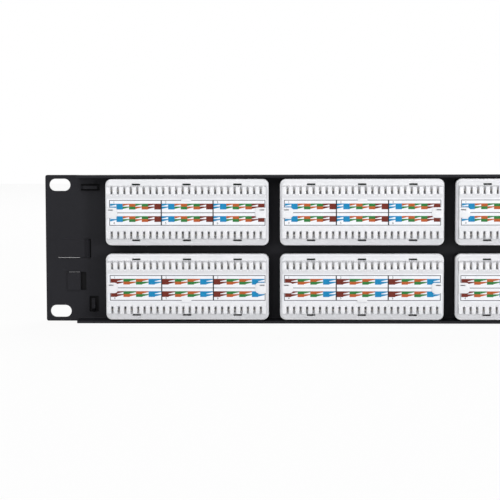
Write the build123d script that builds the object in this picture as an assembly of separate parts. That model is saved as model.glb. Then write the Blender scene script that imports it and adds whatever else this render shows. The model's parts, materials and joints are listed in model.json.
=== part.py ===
from build123d import *
import os

# A 48-port, two-unit patch panel for a 19-inch rack, in millimetres. The origin is the centre of the
# four rack slots on the rear face of the ears, +X runs along the panel, +Y to the rear and +Z up.

# Counts
ports_per_module = 6
modules_per_row = 4
slots_per_port = 4
fields_per_port = 8

# Steel frame
sheet = 1.5
bend_radius = 0.8
flange_depth = 13.2
flange_end_radius = 1.0
ear_width = 20.1
ear_corner_radius = 1.2
rack_slot_length = 12.7
rack_slot_height = 7.3
rack_slot_from_end = 8.75
rack_slot_from_edge = 5.95
end_margin = 17.765
lip_gap = 0.775

# Module spacing and housing
port_pitch = 15.24
module_end = 2.63
module_gap = 6.69
module_height = 39.25
row_gap = 5.05
housing_depth = 14.3
housing_skirt = 4.3
housing_wall = 2.6
housing_roof = 2.0
housing_corner_radius = 3.5
housing_edge_radius = 1.0
pad_inset = 1.4
pad_step = 0.7
pad_corner_radius = 2.1

# Towers that hold the wires, two rows of teeth with the label between them
row_offset = 13.03
tower_top = 21.9
tower_ridge = 4.2
tower_lean = 0.7
tower_foot = 16.6
plateau = 20.0
plateau_height = 16.6
wire_slot_width = 1.0
wire_slot_depth = 5.4
tooth_ridge_width = 2.2
tooth_chamfer = 0.6
core_depth = 2.0
core_inset = 1.9
latch_spacing = 30.0
latch_length = 5.0
latch_reach = 0.9
latch_height = 1.4
latch_leg = 1.2
latch_leg_clearance = 0.2
seat_size = 3.0

# Circuit board
board_thickness = 1.6
board_face = 9.0
board_clearance = 0.25
board_corner_radius = 1.0

# Contacts that bite the wires
contact_width = 2.2
contact_thickness = 1.0
contact_top = 20.6
contact_leg_width = 0.9
contact_leg = 2.0
contact_shoulder = 0.65
contact_slit = 0.26
contact_slit_length = 5.3
contact_mouth = 1.1
contact_mouth_depth = 1.1
contact_clearance = 0.1

# Jack block with the tray behind it, and its spring contacts
jack_height = 16.6
jack_end_clearance = 0.3
jack_front = -4.4
socket_width = 11.9
socket_top = 3.0
socket_bottom = -4.6
socket_back_wall = 1.6
keyway_width = 6.2
keyway_drop = 1.5
latch_slot_width = 3.4
latch_slot_drop = 1.2
comb_width = 8.6
comb_top = 6.4
comb_front_wall = 1.8
spring_pitch = 1.02
spring_width = 0.5
spring_thickness = 0.45
spring_nose = 0.4
spring_tip_back = 3.0
spring_tip_drop = 1.5
post_radius = 1.2
post_clearance = 0.1
snap_reach = 0.7
snap_length = 2.0
snap_height = 6.0
snap_gap = 0.05
window_clearance = 0.3
window_corner_radius = 0.6
tray_inset = 0.35
tray_gap = 0.1
tray_floor = 1.5
tray_hole_clearance = 0.3

# Front bezel
bezel_thickness = 2.5
bezel_end_clearance = 0.2
bezel_corner_radius = 3.0
bezel_edge_radius = 0.8
stake_radius = 1.5
stake_clearance = 0.15
stake_head_radius = 2.3
stake_head = 1.0
stake_offset = 13.0
strip_height = 8.0
strip_end_margin = 1.7
strip_gap = 1.2
strip_recess = 0.4
strip_clearance = 0.15
strip_thickness = 0.2

# Wiring label, its print and the tabs that hold it down
label_thickness = 0.25
label_margin_x = 0.78
label_margin_z = 0.6
label_frame_height = 14.7
line_width = 0.35
divider_width = 0.65
band_offset = 3.67
band_height = 3.4
stripe_thick = 1.4
stripe_thin = 0.5
first_column_print_shift = -0.6
print_thickness = 0.05
tab_length = 6.1
tab_height = 6.2
tab_corner_radius = 2.0
tab_thickness = 0.5
tab_gap = 0.05
tab_post = 0.3
tab_slot_length = 2.9
tab_slot_height = 0.6
tab_slot_from_post = 0.65
tab_slot_offset = 1.65
side_tab_length = 5.8
side_tab_cover = 1.1

# Lanced hooks and tongues in the ears, placed from the end of the flanges and from the panel's middle
lance_gap = 0.08
hook_length = 11.5
hook_opening = 4.0
hook_width = 1.9
hook_rise = 3.0
hook_run = 2.2
hook_tip_gap = 1.2
hook_end_gap = 1.2
upper_hook_height = 36.6
lower_hook_length = 9.5
lower_hook_opening = 5.6
lower_hook_from_end = 8.7
lower_hook_foot = -38.5
catch_root_from_edge = 7.2
catch_length = 16.0
catch_top = 5.4
catch_bottom = -5.7
catch_bend = 2.4
catch_hole = 1.6
catch_lower_gap = 0.2
shelf_root_from_edge = 11.8
shelf_length = 9.1
shelf_top = -14.5
shelf_bottom = -25.3
shelf_rise = 1.1
shelf_run = 1.5
shelf_hole = 3.3

# Sizes that follow from those above
slot_pitch = port_pitch / slots_per_port
frame_length = ports_per_module * port_pitch
module_length = frame_length + 2 * module_end
module_pitch = module_length + module_gap
row_pitch = module_height + row_gap
flange_length = modules_per_row * module_pitch - module_gap + 2 * end_margin
panel_width = flange_length + 2 * ear_width
panel_height = 2 * module_height + row_gap + 2 * (lip_gap + sheet)
rack_spacing_x = panel_width - 2 * rack_slot_from_end
rack_spacing_z = panel_height - 2 * rack_slot_from_edge
outer_bend_radius = bend_radius + sheet
half_width = panel_width / 2
half_height = panel_height / 2
half_flange = flange_length / 2
slots_per_row = ports_per_module * slots_per_port
slot_places = [(i - (slots_per_row - 1) / 2) * slot_pitch for i in range(slots_per_row)]
port_places = [(i - (ports_per_module - 1) / 2) * port_pitch for i in range(ports_per_module)]
latch_places = [-latch_spacing, 0, latch_spacing]
inner_length = module_length - 2 * housing_wall
inner_height = module_height - 2 * housing_wall
pad_length = module_length - 2 * pad_inset
pad_height = module_height - 2 * pad_inset
roof_underside = housing_depth - housing_roof
skirt_bottom = housing_depth - housing_skirt
latch_bottom = board_face - latch_height
board_back = board_face + board_thickness
line_frame_length = frame_length + line_width
fields_length = 2 * port_pitch - divider_width
field_width = fields_length / fields_per_port
label_length = frame_length + 2 * label_margin_x
label_height = label_frame_height + 2 * label_margin_z
label_top = plateau + label_thickness
jack_length = frame_length - 2 * jack_end_clearance
window_length = jack_length + 2 * window_clearance
window_height = jack_height + 2 * window_clearance
tab_slot_x = pad_length / 2 - tab_post - tab_slot_from_post - tab_slot_length / 2
bezel_front = -sheet - bezel_thickness
bezel_window_length = window_length + 2 * snap_reach
strip_length = frame_length - 2 * strip_end_margin
modules = [
    (column, row, (column - (modules_per_row - 1) / 2) * module_pitch, row * row_pitch / 2)
    for row in (1, -1)
    for column in range(modules_per_row)
]


def block(x0, x1, y0, y1, z0, z1):
    """A box between two corners."""
    return Pos((x0 + x1) / 2, (y0 + y1) / 2, (z0 + z1) / 2) * Box(x1 - x0, y1 - y0, z1 - z0)


def upright(outline, y0, y1):
    """An outline drawn in X and Z, given depth from y0 to y1."""
    plane = Plane(origin=(0, y1, 0), x_dir=(1, 0, 0), z_dir=(0, -1, 0))
    return extrude(plane * outline, amount=y1 - y0, dir=(0, -1, 0))


def along_x(points, x0, x1):
    """A profile of Y and Z points, run along X."""
    face = make_face(Plane.YZ * Polyline(*points, close=True))
    return extrude(Pos(x0, 0, 0) * face, amount=x1 - x0, dir=(1, 0, 0))


def along_z(points, z0, z1):
    """A profile of X and Y points, run along Z."""
    face = make_face(Polyline(*points, close=True))
    return extrude(Pos(0, 0, z0) * face, amount=z1 - z0, dir=(0, 0, 1))


def turned(solid, row):
    """A piece of the lower row is the upper row's, turned half a turn about Y."""
    return solid if row > 0 else Rot(0, 180, 0) * solid


def at_modules(solid, lower=None):
    """The eight copies of a module's piece, in the order of their numbers. The lower row can differ."""
    if lower is None:
        lower = solid
    return [Pos(x, 0, z) * turned(solid if row > 0 else lower, row) for column, row, x, z in modules]


def tab_slots(row):
    """The outlines of the slots beside the end tabs, which are on the upper side in both rows."""
    slot = Rectangle(tab_slot_length, tab_slot_height)
    return [Pos(x, row * tab_slot_offset) * slot for x in (-tab_slot_x, tab_slot_x)]


def both_ears(solid):
    return [solid, mirror(solid, Plane.YZ)]


def joggle(root, tip, rise, run):
    """The edge view of a lanced strip that climbs from the sheet and runs on level to its tip."""
    way = -1 if tip < root else 1
    return [
        (root, -sheet),
        (root, 0),
        (root + way * run, rise),
        (tip, rise),
        (tip, rise - sheet),
        (root + way * (run + sheet / 2), rise - sheet),
        (root + way * sheet / 2, -sheet),
    ]


def ear_lances():
    """The cuts in the right ear and the strips that are bent out of it."""
    hook_root = half_flange - hook_end_gap
    hook_tip = hook_root - hook_length
    upper_cut = (hook_tip, hook_root, upper_hook_height - hook_opening / 2, upper_hook_height + hook_opening / 2)
    upper_hook = along_z(
        joggle(hook_root, hook_tip + hook_tip_gap, hook_rise, hook_run),
        upper_hook_height - hook_width / 2,
        upper_hook_height + hook_width / 2,
    )

    lower_x = half_flange - lower_hook_from_end
    lower_tip = lower_hook_foot + lower_hook_length
    lower_cut = (lower_x - lower_hook_opening / 2, lower_x + lower_hook_opening / 2, lower_hook_foot, lower_tip)
    lower_points = joggle(lower_hook_foot, lower_tip - hook_tip_gap, hook_rise, hook_run)
    lower_hook = along_x([(y, z) for z, y in lower_points], lower_x - hook_width / 2, lower_x + hook_width / 2)

    catch_root = half_width - catch_root_from_edge
    catch_fold = catch_root - catch_length
    catch_tip = catch_fold - catch_bend
    catch_cut = (catch_tip - catch_hole, catch_root, catch_bottom - catch_lower_gap, catch_top + lance_gap)
    catch = along_z(
        [
            (catch_root, -sheet),
            (catch_root, 0),
            (catch_fold, 0),
            (catch_tip, catch_bend),
            (catch_tip - sheet * 0.7, catch_bend - sheet * 0.7),
            (catch_fold - sheet * 0.4, -sheet),
        ],
        catch_bottom,
        catch_top,
    )

    shelf_root = half_width - shelf_root_from_edge
    shelf_tip = shelf_root - shelf_length
    shelf_cut = (shelf_tip - shelf_hole, shelf_root, shelf_bottom - lance_gap, shelf_top + lance_gap)
    shelf = along_z(joggle(shelf_root, shelf_tip, shelf_rise, shelf_run), shelf_bottom, shelf_top)

    cuts = [block(x0, x1, -2 * sheet, sheet, z0, z1) for x0, x1, z0, z1 in (upper_cut, lower_cut, catch_cut, shelf_cut)]
    return cuts, [upper_hook, lower_hook, catch, shelf]


def flange():
    """The upper lip, folded to the rear with a rounded bend."""
    bend_z = half_height - outer_bend_radius
    middle = 0.5 ** 0.5
    outer = ThreePointArc(
        (-sheet, bend_z),
        (bend_radius - outer_bend_radius * middle, bend_z + outer_bend_radius * middle),
        (bend_radius, half_height),
    )
    inner = ThreePointArc(
        (0, bend_z),
        (bend_radius * (1 - middle), bend_z + bend_radius * middle),
        (bend_radius, half_height - sheet),
    )
    edges = [
        outer,
        Line((bend_radius, half_height), (flange_depth, half_height)),
        Line((flange_depth, half_height), (flange_depth, half_height - sheet)),
        Line((flange_depth, half_height - sheet), (bend_radius, half_height - sheet)),
        inner,
        Line((0, bend_z), (-sheet, bend_z)),
    ]
    face = Plane.YZ * make_face(edges)
    lip = extrude(Pos(-half_flange, 0, 0) * face, amount=flange_length, dir=(1, 0, 0))
    corners = lip.edges().filter_by(Axis.Z).group_by(Axis.Y)[-1]
    return fillet(corners, flange_end_radius)


def make_panel_frame():
    bend_z = half_height - outer_bend_radius
    outline = RectangleRounded(panel_width, panel_height, ear_corner_radius)
    for side in (1, -1):
        outline -= Pos(0, side * (bend_z + outer_bend_radius / 2)) * Rectangle(flange_length, outer_bend_radius)
    for x in (-rack_spacing_x / 2, rack_spacing_x / 2):
        for z in (-rack_spacing_z / 2, rack_spacing_z / 2):
            outline -= Pos(x, z) * SlotOverall(rack_slot_length, rack_slot_height)
    for column, row, x, z in modules:
        outline -= Pos(x, z) * RectangleRounded(window_length, window_height, window_corner_radius)
        for side in (1, -1):
            outline -= Pos(x + side * row * 2 * port_pitch, z + side * row * stake_offset) * Circle(
                stake_radius + stake_clearance
            )
    frame = upright(outline, -sheet, 0)
    upper = flange()
    cuts, strips = ear_lances()
    frame -= [copy for cut in cuts for copy in both_ears(cut)]
    frame += [upper, mirror(upper, Plane.XY)]
    frame += [copy for strip in strips for copy in both_ears(strip)]
    return frame


def make_front_bezel():
    height = panel_height - 2 * outer_bend_radius
    length = flange_length - 2 * bezel_end_clearance
    bezel = upright(RectangleRounded(length, height, bezel_corner_radius), bezel_front, -sheet)
    bezel = fillet(bezel.faces().sort_by(Axis.Y)[0].edges(), bezel_edge_radius)
    window = RectangleRounded(bezel_window_length, window_height, window_corner_radius)
    recess = Rectangle(strip_length + 2 * strip_clearance, strip_height + 2 * strip_clearance)
    recess_z = window_height / 2 + strip_gap + strip_height / 2
    cuts = []
    for column, row, x, z in modules:
        cuts.append(upright(Pos(x, z) * window, bezel_front - sheet, 0))
        cuts.append(upright(Pos(x, z + recess_z) * recess, bezel_front - sheet, bezel_front + strip_recess))
    bezel -= cuts
    stakes = []
    for column, row, x, z in modules:
        for side in (1, -1):
            centre = Pos(x + side * row * 2 * port_pitch, z + side * row * stake_offset)
            stakes.append(upright(centre * Circle(stake_radius), -sheet - strip_recess, stake_head))
            stakes.append(upright(centre * Circle(stake_head_radius), 0, stake_head))
    return bezel + stakes


def make_strips():
    strip_z = window_height / 2 + strip_gap + strip_height / 2
    strip = upright(
        Rectangle(strip_length, strip_height),
        bezel_front + strip_recess - strip_thickness,
        bezel_front + strip_recess,
    )
    return [Pos(x, 0, z + strip_z) * strip for column, row, x, z in modules]


def make_housing(row):
    """A white cap, open to the front, with a tower of teeth along each side of the label."""
    shell = upright(
        RectangleRounded(module_length, module_height, housing_corner_radius), skirt_bottom, housing_depth
    )
    shell = fillet(shell.faces().sort_by(Axis.Y)[-1].edges(), housing_edge_radius)

    pad = housing_depth + pad_step
    foot_z = row_offset + tower_ridge / 2 + tower_lean
    outer_z = row_offset + tower_ridge / 2
    inner_z = row_offset - tower_ridge / 2
    half_profile = [
        (roof_underside, pad_height / 2),
        (pad, pad_height / 2),
        (tower_foot, foot_z),
        (tower_top, outer_z),
        (tower_top, inner_z),
        (plateau, plateau_height / 2),
    ]
    profile = half_profile + [(y, -z) for y, z in reversed(half_profile)]
    towers = along_x(profile, -pad_length / 2, pad_length / 2)
    towers &= upright(RectangleRounded(pad_length, pad_height, pad_corner_radius), 0, tower_top + pad_step)
    shell += towers

    slot_floor = tower_top - wire_slot_depth
    throat = tower_top - tooth_chamfer
    funnel = slot_pitch - tooth_ridge_width
    half_slot = wire_slot_width / 2
    groove = [
        (-half_slot, throat),
        (-funnel / 2, tower_top),
        (-funnel / 2, tower_top + pad_step),
        (funnel / 2, tower_top + pad_step),
        (funnel / 2, tower_top),
        (half_slot, throat),
    ]
    pocket_x = contact_width / 2 + contact_clearance
    pocket_z = contact_thickness / 2 + contact_clearance
    pocket_top = contact_top + contact_clearance
    cuts = [
        block(
            -inner_length / 2, inner_length / 2, skirt_bottom - 1, roof_underside, -inner_height / 2, inner_height / 2
        )
    ]
    core_z = plateau_height / 2 - core_inset
    cuts.append(
        block(-inner_length / 2, inner_length / 2, roof_underside - 1, plateau - core_depth, -core_z, core_z)
    )
    for side in (1, -1):
        near = min(side * plateau_height / 2, side * pad_height / 2)
        far = max(side * plateau_height / 2, side * pad_height / 2)
        slot_near = min(side * inner_z, side * pad_height / 2)
        slot_far = max(side * inner_z, side * pad_height / 2)
        for x in slot_places:
            cuts.append(Pos(x, 0, 0) * along_z(groove, near, far))
            cuts.append(block(x - half_slot, x + half_slot, slot_floor, throat, slot_near, slot_far))
            cuts.append(
                block(
                    x - pocket_x,
                    x + pocket_x,
                    roof_underside - 1,
                    pocket_top,
                    side * row_offset - pocket_z,
                    side * row_offset + pocket_z,
                )
            )
        wall_z = side * inner_height / 2
        lip_z = side * (inner_height / 2 - latch_reach)
        for x in latch_places:
            cuts.append(
                block(
                    x - latch_length / 2,
                    x + latch_length / 2,
                    roof_underside - 1,
                    tower_top,
                    min(wall_z, lip_z),
                    max(wall_z, lip_z),
                )
            )
    shell -= cuts

    extras = []
    for side in (1, -1):
        wall_z = side * inner_height / 2
        lip_z = side * (inner_height / 2 - latch_reach)
        leg_z = wall_z + side * latch_leg
        hook = [(skirt_bottom, leg_z), (skirt_bottom, wall_z), (board_face, wall_z), (board_face, lip_z)]
        hook += [(latch_bottom, wall_z), (latch_bottom, leg_z)]
        for x in latch_places:
            extras.append(along_x(hook, x - latch_length / 2, x + latch_length / 2))
        for end in (1, -1):
            x = end * inner_length / 2
            z = side * inner_height / 2
            extras.append(
                block(
                    min(x, x - end * seat_size),
                    max(x, x - end * seat_size),
                    board_back,
                    roof_underside,
                    min(z, z - side * seat_size),
                    max(z, z - side * seat_size),
                )
            )
    slots = [upright(slot, plateau - core_depth - 1, tower_top) for slot in tab_slots(row)]
    return shell + extras + label_tabs() - slots


def label_tabs():
    """The small hooks of the housing that hold the label down at its ends and at one long side."""
    under = label_top + print_thickness + tab_gap
    top = under + tab_thickness
    inner_x = pad_length / 2 - tab_post - tab_length
    middle_x = inner_x + tab_height / 2
    rounded = RectangleRounded(tab_height, tab_height, tab_corner_radius)
    end_tab = [
        upright(Pos(middle_x, 0) * rounded, under, top),
        block(middle_x, pad_length / 2, under, top, -tab_height / 2, tab_height / 2),
        block(pad_length / 2 - tab_post, pad_length / 2, plateau, top, -tab_height / 2, tab_height / 2),
    ]
    edge_z = label_height / 2 + tab_gap
    side_tab = [
        block(-side_tab_length / 2, side_tab_length / 2, under, top, edge_z - side_tab_cover, edge_z + tab_post),
        block(-side_tab_length / 2, side_tab_length / 2, plateau, top, edge_z, edge_z + tab_post),
    ]
    return [copy for piece in end_tab for copy in both_ears(piece)] + side_tab


def make_board():
    outline = RectangleRounded(
        inner_length - 2 * board_clearance, inner_height - 2 * board_clearance, board_corner_radius
    )
    for x in (-2 * port_pitch, 2 * port_pitch):
        outline -= Pos(x, 0) * Circle(post_radius + post_clearance)
    return upright(outline, board_face, board_back)


def make_wire_contacts():
    """Forked blades that stand on the board, one in each wire slot."""
    half = contact_width / 2
    leg = contact_leg_width / 2
    slit = contact_slit / 2
    mouth = contact_mouth / 2
    leg_top = board_back + contact_leg
    half_fork = [
        (leg, board_back),
        (leg, leg_top),
        (half, leg_top + contact_shoulder),
        (half, contact_top - contact_shoulder),
        (mouth, contact_top),
        (slit, contact_top - contact_mouth_depth),
        (slit, contact_top - contact_slit_length),
    ]
    fork = half_fork + [(-x, y) for x, y in reversed(half_fork)]
    blade = along_z(fork, -contact_thickness / 2, contact_thickness / 2)
    return [Pos(x, 0, side * row_offset) * blade for side in (1, -1) for x in slot_places]


def make_tray():
    """The shallow tray behind the steel, which holds the board and stands under the housing's edge."""
    tray = upright(
        RectangleRounded(
            module_length - 2 * tray_inset, module_height - 2 * tray_inset, housing_corner_radius - tray_inset
        ),
        0,
        skirt_bottom - tray_gap,
    )
    leg_room = latch_length / 2 + latch_leg_clearance
    leg_z = inner_height / 2 + latch_leg + latch_leg_clearance
    cuts = [
        block(
            -inner_length / 2, inner_length / 2, tray_floor, skirt_bottom, -inner_height / 2, inner_height / 2
        )
    ]
    for x in latch_places:
        cuts.append(block(x - leg_room, x + leg_room, latch_bottom - latch_leg_clearance, skirt_bottom, -leg_z, leg_z))
    for side in (1, -1):
        hole = Pos(side * 2 * port_pitch, side * stake_offset) * Circle(stake_head_radius + tray_hole_clearance)
        cuts.append(upright(hole, -1, tray_floor + 1))
    return tray - cuts


def make_jack_block():
    """Six sockets and the tray in one moulding. A socket has a keyway for the latch and a recess for springs."""
    half = jack_length / 2
    body = block(-half, half, jack_front, board_face, -jack_height / 2, jack_height / 2)
    back = board_face - socket_back_wall
    front = jack_front - 1
    keyway_floor = socket_bottom - keyway_drop
    latch_floor = keyway_floor - latch_slot_drop
    cuts = []
    for x in port_places:
        cuts += [
            block(x - socket_width / 2, x + socket_width / 2, front, back, socket_bottom, socket_top),
            block(x - keyway_width / 2, x + keyway_width / 2, front, back, keyway_floor, socket_bottom),
            block(x - latch_slot_width / 2, x + latch_slot_width / 2, front, back, latch_floor, keyway_floor),
            block(x - comb_width / 2, x + comb_width / 2, jack_front + comb_front_wall, back, socket_top, comb_top),
            block(
                x - comb_width / 2,
                x + comb_width / 2,
                back,
                board_face + 1,
                comb_top - spring_thickness - contact_clearance,
                comb_top,
            ),
        ]
    body = body + make_tray() - cuts
    catch_face = -sheet - snap_gap
    wedge = [(half - 1, catch_face), (half + snap_reach, catch_face), (half, catch_face - snap_length)]
    snap = along_z(wedge, -snap_height / 2, snap_height / 2)
    posts = [
        upright(Pos(x, 0) * Circle(post_radius), board_face - 1, board_back)
        for x in (-2 * port_pitch, 2 * port_pitch)
    ]
    return body + both_ears(snap) + posts


def make_jack_contacts():
    """Eight springs for each socket: along the recess from the board, then back and down at a slant."""
    nose = jack_front + comb_front_wall + spring_nose
    tip_y = board_face - spring_tip_back
    tip_z = socket_top - spring_tip_drop
    low = comb_top - spring_thickness
    profile = [
        (board_face, comb_top),
        (nose + spring_thickness, comb_top),
        (nose, low),
        (nose, low - spring_thickness),
        (tip_y, tip_z - spring_thickness),
        (tip_y + spring_thickness / 2, tip_z),
        (nose + spring_thickness, low),
        (board_face, low),
    ]
    spring = along_x(profile, -spring_width / 2, spring_width / 2)
    places = [(i - (fields_per_port - 1) / 2) * spring_pitch for i in range(fields_per_port)]
    return [Pos(x + offset, 0, 0) * spring for x in port_places for offset in places]


def make_label(row):
    outline = Rectangle(label_length, label_height)
    outline -= tab_slots(row)
    return upright(outline, plateau, label_top)


def printed(points):
    """One printed shape: a corner list in X and Z, given the print's thickness."""
    return upright(make_face(Polyline(*points, close=True)), label_top, label_top + print_thickness)


def field_shapes():
    """The shapes of the fields: plain, split in two, or white with two stripes that narrow to one side."""
    half = field_width / 2
    top = band_height / 2
    return {
        "plain": [printed([(half, top), (-half, top), (-half, -top), (half, -top)])],
        "split": [
            printed([(half, top), (-half, top), (-half, 0), (half, 0)]),
            printed([(half, 0), (-half, 0), (-half, -top), (half, -top)]),
        ],
        "striped": [
            printed([(half, top), (-half, top), (-half, top - stripe_thin), (half, top - stripe_thick)]),
            printed([(half, 0), (-half, 0), (-half, -stripe_thin), (half, -stripe_thick)]),
        ],
    }


wiring_code = [
    ("striped", ["blue", "blue"]),
    ("plain", ["blue"]),
    ("striped", ["orange", "green"]),
    ("split", ["orange", "green"]),
    ("striped", ["green", "orange"]),
    ("split", ["green", "orange"]),
    ("striped", ["brown", "brown"]),
    ("plain", ["brown"]),
]


def print_middle(column, x):
    """Where the print of a label has its middle: the first column's sits a little to one side."""
    return x + first_column_print_shift if column == modules_per_row - 1 else x


def make_colour_prints():
    """The printed fields of all eight labels, sorted by colour. The lower row reads the other way."""
    prints = {"blue": [], "orange": [], "green": [], "brown": []}
    shapes = field_shapes()
    groups = [(ports_per_module / 2 - 1 - 2 * i) * port_pitch for i in range(ports_per_module // 2)]
    for column, row, x, z in modules:
        code = wiring_code if row > 0 else wiring_code[::-1]
        for band in (band_offset, -band_offset):
            for group in groups:
                for i, (kind, colours) in enumerate(code):
                    centre = print_middle(column, x) + group + fields_length / 2 - (i + 0.5) * field_width
                    for colour, shape in zip(colours, shapes[kind]):
                        prints[colour].append(Pos(centre, 0, z + band) * shape)
    return prints


def make_line_print():
    """The thin black frame of each label and its dividers between ports, open over the tabs' slots."""
    half = frame_length / 2
    outline = Sketch()
    for z in (-label_frame_height / 2, 0, label_frame_height / 2):
        outline += Pos(0, z) * Rectangle(line_frame_length, line_width)
    for x in (-half, half):
        outline += Pos(x, 0) * Rectangle(line_width, label_frame_height + line_width)
    for x in (-port_pitch, port_pitch):
        outline += Pos(x, 0) * Rectangle(divider_width, label_frame_height)
    prints = []
    for column, row, x, z in modules:
        shift = print_middle(column, x) - x
        openings = [Pos(-shift, 0) * slot for slot in tab_slots(1)]
        frame = upright(outline - openings, label_top, label_top + print_thickness)
        prints.append(Pos(x + shift, 0, z) * frame)
    return prints


def save(name, pieces):
    """Writes one node: a single solid, or a group of separate ones."""
    solids = []
    for piece in pieces:
        solids += piece.solids()
    node = solids[0] if len(solids) == 1 else Compound(children=solids)
    export_step(node, "parts/" + name + ".step")


os.makedirs("parts", exist_ok=True)
save("panel_frame", [make_panel_frame()])
save("front_bezel", [make_front_bezel()])
save("port_label_strips", make_strips())

singles = {
    "punchdown_housing": (make_housing(1), make_housing(-1)),
    "circuit_board": (make_board(), None),
    "jack_block": (make_jack_block(), None),
    "wiring_label": (make_label(1), make_label(-1)),
}
for name, (solid, lower) in singles.items():
    for number, copy in enumerate(at_modules(solid, lower), start=1):
        save(name + "_" + str(number), [copy])

groups = {"wire_contacts": make_wire_contacts(), "jack_contacts": make_jack_contacts()}
for name, solids in groups.items():
    copies = [at_modules(solid) for solid in solids]
    for number in range(1, len(modules) + 1):
        save(name + "_" + str(number), [copy[number - 1] for copy in copies])

for colour, solids in make_colour_prints().items():
    save("label_print_" + colour, solids)
save("label_print_lines", make_line_print())
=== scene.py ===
"""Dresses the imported 48-port patch panel and sets up a plain studio that sees it from the rear."""

import json
import logging
import math
from dataclasses import dataclass, field
from enum import Enum
from typing import Iterable, Sequence

import bmesh
import bpy
from mathutils import Matrix, Vector


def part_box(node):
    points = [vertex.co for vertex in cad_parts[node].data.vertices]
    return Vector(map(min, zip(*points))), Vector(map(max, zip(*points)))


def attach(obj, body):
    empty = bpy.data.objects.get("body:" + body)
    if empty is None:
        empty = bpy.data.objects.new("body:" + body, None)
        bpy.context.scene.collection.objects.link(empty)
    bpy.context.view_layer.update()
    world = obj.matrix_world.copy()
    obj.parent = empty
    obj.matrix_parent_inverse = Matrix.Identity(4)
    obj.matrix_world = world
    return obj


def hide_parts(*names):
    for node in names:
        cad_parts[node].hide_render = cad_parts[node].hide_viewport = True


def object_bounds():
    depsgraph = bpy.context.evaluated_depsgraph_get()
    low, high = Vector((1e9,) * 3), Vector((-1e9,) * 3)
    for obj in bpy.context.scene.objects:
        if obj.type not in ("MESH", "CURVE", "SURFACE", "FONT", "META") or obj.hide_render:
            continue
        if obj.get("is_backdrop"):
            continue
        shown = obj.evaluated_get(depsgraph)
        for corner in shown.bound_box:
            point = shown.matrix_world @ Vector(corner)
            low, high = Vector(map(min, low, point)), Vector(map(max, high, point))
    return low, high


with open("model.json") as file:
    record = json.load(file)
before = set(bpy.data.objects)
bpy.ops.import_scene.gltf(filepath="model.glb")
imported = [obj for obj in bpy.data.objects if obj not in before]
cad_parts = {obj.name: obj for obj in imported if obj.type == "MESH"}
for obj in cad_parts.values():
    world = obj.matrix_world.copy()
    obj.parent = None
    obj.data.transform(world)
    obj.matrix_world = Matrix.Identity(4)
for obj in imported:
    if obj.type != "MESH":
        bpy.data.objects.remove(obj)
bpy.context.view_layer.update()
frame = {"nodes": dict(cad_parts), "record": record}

LOG = logging.getLogger("patch_panel")
MM = 0.001
BODY = "root"
MODULE_NUMBERS = tuple(range(1, 9))

# In millimetres: places closer than SAME count as one, HAIR keeps two faces of a form out of one plane, and
# OVERLAP and SINK are how far its bodies reach into each other.
SAME = 1e-4
HAIR = 0.02
OVERLAP = 0.1
SINK = 0.3
# Edges that bend by more than this stay sharp.
CREASE = math.radians(35.0)
CORNER_FACETS = 7
RIM_FACETS = 4
SOFT_FACETS = 2

Colour = tuple[float, float, float]
Point = tuple[float, float, float]


def linear(red: int, green: int, blue: int) -> Colour:
    """Turns a screen colour of 0 to 255 into the linear colour that a shader takes.

    Args:
        red: Red, as a paint chart gives it.
        green: Green.
        blue: Blue.

    Returns:
        The linear colour.
    """
    def curve(value: float) -> float:
        """Undoes the screen's curve for one channel.

        Args:
            value: The channel, from 0 to 1.

        Returns:
            The same channel in linear light.
        """
        return value / 12.92 if value <= 0.04045 else ((value + 0.055) / 1.055) ** 2.4

    return curve(red / 255), curve(green / 255), curve(blue / 255)


class Wires:
    """Adds nodes to a shader tree and joins them."""

    def __init__(self, tree: bpy.types.NodeTree) -> None:
        """Keeps the tree that the nodes go into.

        Args:
            tree: The shader tree.
        """
        self.tree = tree

    def add(self, kind: str, **settings: object) -> bpy.types.Node:
        """Adds one node.

        Args:
            kind: The node's type name.
            **settings: Properties of the node to set.

        Returns:
            The new node.
        """
        node = self.tree.nodes.new(kind)
        for name, value in settings.items():
            setattr(node, name, value)
        return node

    def join(self, source: bpy.types.NodeSocket, target: bpy.types.NodeSocket) -> None:
        """Links an output to an input.

        Args:
            source: The output.
            target: The input.
        """
        self.tree.links.new(source, target)


def moulded_skin_group() -> bpy.types.NodeTree:
    """Builds the group that gives any surface its fine grain and its broad unevenness.

    Returns:
        A group with the inputs Vector, Fine and Broad and the outputs Grain and Cloud.
    """
    group = bpy.data.node_groups.new("moulded_skin", "ShaderNodeTree")
    face = group.interface
    face.new_socket("Vector", in_out="INPUT", socket_type="NodeSocketVector")
    face.new_socket("Fine", in_out="INPUT", socket_type="NodeSocketFloat")
    face.new_socket("Broad", in_out="INPUT", socket_type="NodeSocketFloat")
    face.new_socket("Grain", in_out="OUTPUT", socket_type="NodeSocketFloat")
    face.new_socket("Cloud", in_out="OUTPUT", socket_type="NodeSocketFloat")
    wires = Wires(group)
    entry = wires.add("NodeGroupInput")
    exit_node = wires.add("NodeGroupOutput")
    for scale, result, detail in (("Fine", "Grain", 3.0), ("Broad", "Cloud", 4.0)):
        noise = wires.add("ShaderNodeTexNoise")
        noise.inputs["Detail"].default_value = detail
        wires.join(entry.outputs["Vector"], noise.inputs["Vector"])
        wires.join(entry.outputs[scale], noise.inputs["Scale"])
        wires.join(noise.outputs["Fac"], exit_node.inputs[result])
    return group


class Surface(Enum):
    """How the fine relief of a finish is laid."""

    EVEN = "even"
    BRUSHED = "brushed"
    PEBBLED = "pebbled"


# How the relief is laid: the brushing's stretch, the part of the cloud that shifts the colour, the strength of
# the bumps, and how the pebbles' scale compares with the grain's.
BRUSH_STRETCH = (1.0, 0.06, 1.0)
CLOUD_SPAN = (0.35, 0.65)
BUMP_STRENGTH = 0.5
PEBBLE_SCALE = 0.5


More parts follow.
